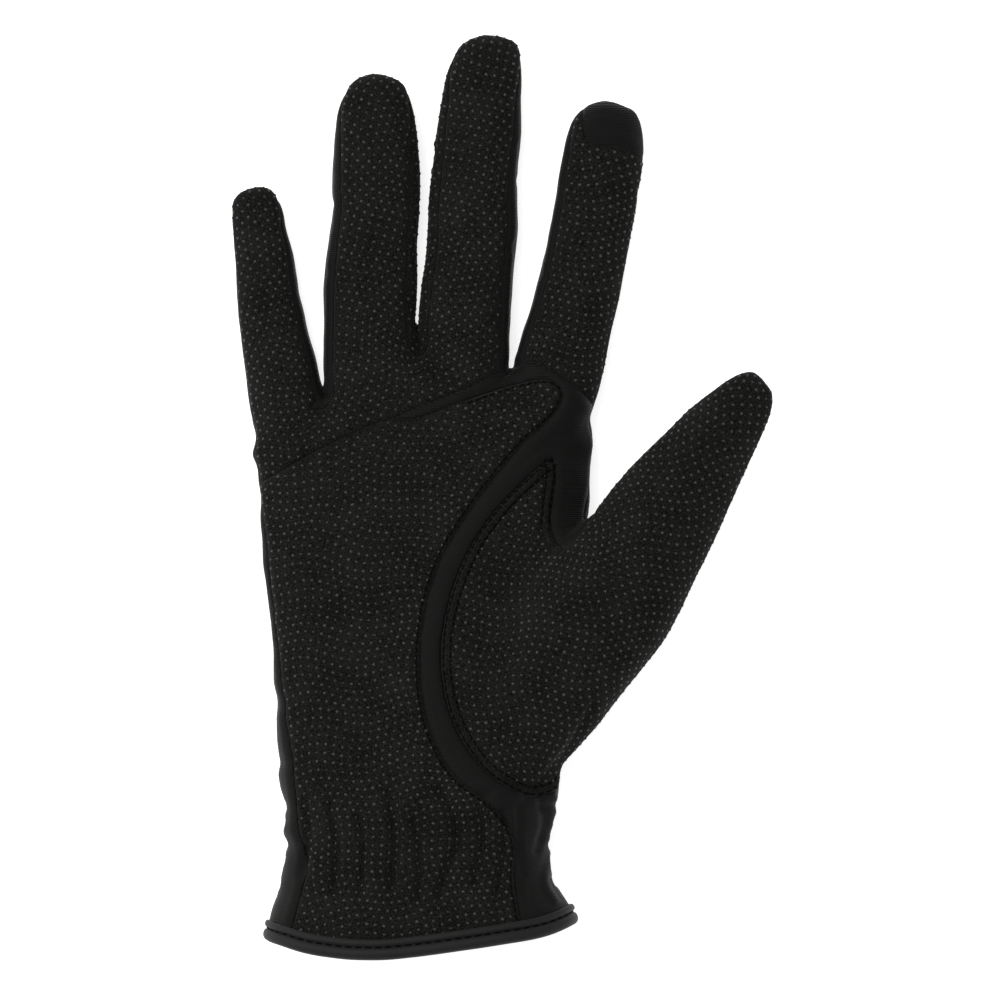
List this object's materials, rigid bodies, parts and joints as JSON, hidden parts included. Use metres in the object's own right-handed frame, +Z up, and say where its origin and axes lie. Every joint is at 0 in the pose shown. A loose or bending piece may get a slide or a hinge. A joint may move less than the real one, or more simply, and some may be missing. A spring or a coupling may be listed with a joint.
{
  "type": "horse riding glove",
  "caption": "Right-hand riding glove in dotted grip cloth and smooth stretch cloth, with open fingers and thumb, finger side strips, a gathered wrist and a bound hem.",
  "frame": {"origin": "on the surface the glove lies on, under the middle of its bounding box", "axes": "+Y from the hem towards the fingertips, +X towards the thumb, +Z up, out of the palm"},
  "size_m": [0.1406, 0.24, 0.0298],
  "materials": {
    "grip_cloth": "matt black suede-like cloth with raised grip dots",
    "stretch_cloth": "matt black fine-ribbed stretch knit",
    "touch_cloth": "black finely ribbed touch-screen cloth, slightly shiny",
    "binding_tape": "smooth black elastic binding tape with one line of stitches"
  },
  "bodies": {
    "root": {"palm_panel": "grip_cloth", "finger_front_panel": "grip_cloth", "index_front_panel": "grip_cloth", "index_touch_tip": "touch_cloth", "stretch_base_panel": "stretch_cloth", "thumb_front_panel": "grip_cloth", "thumb_back_panel": "stretch_cloth", "back_panel": "stretch_cloth", "fourchette_little_ring": "stretch_cloth", "fourchette_ring_middle": "grip_cloth", "fourchette_middle_index": "stretch_cloth", "hem_binding": "binding_tape"}
  },
  "joints": []
}
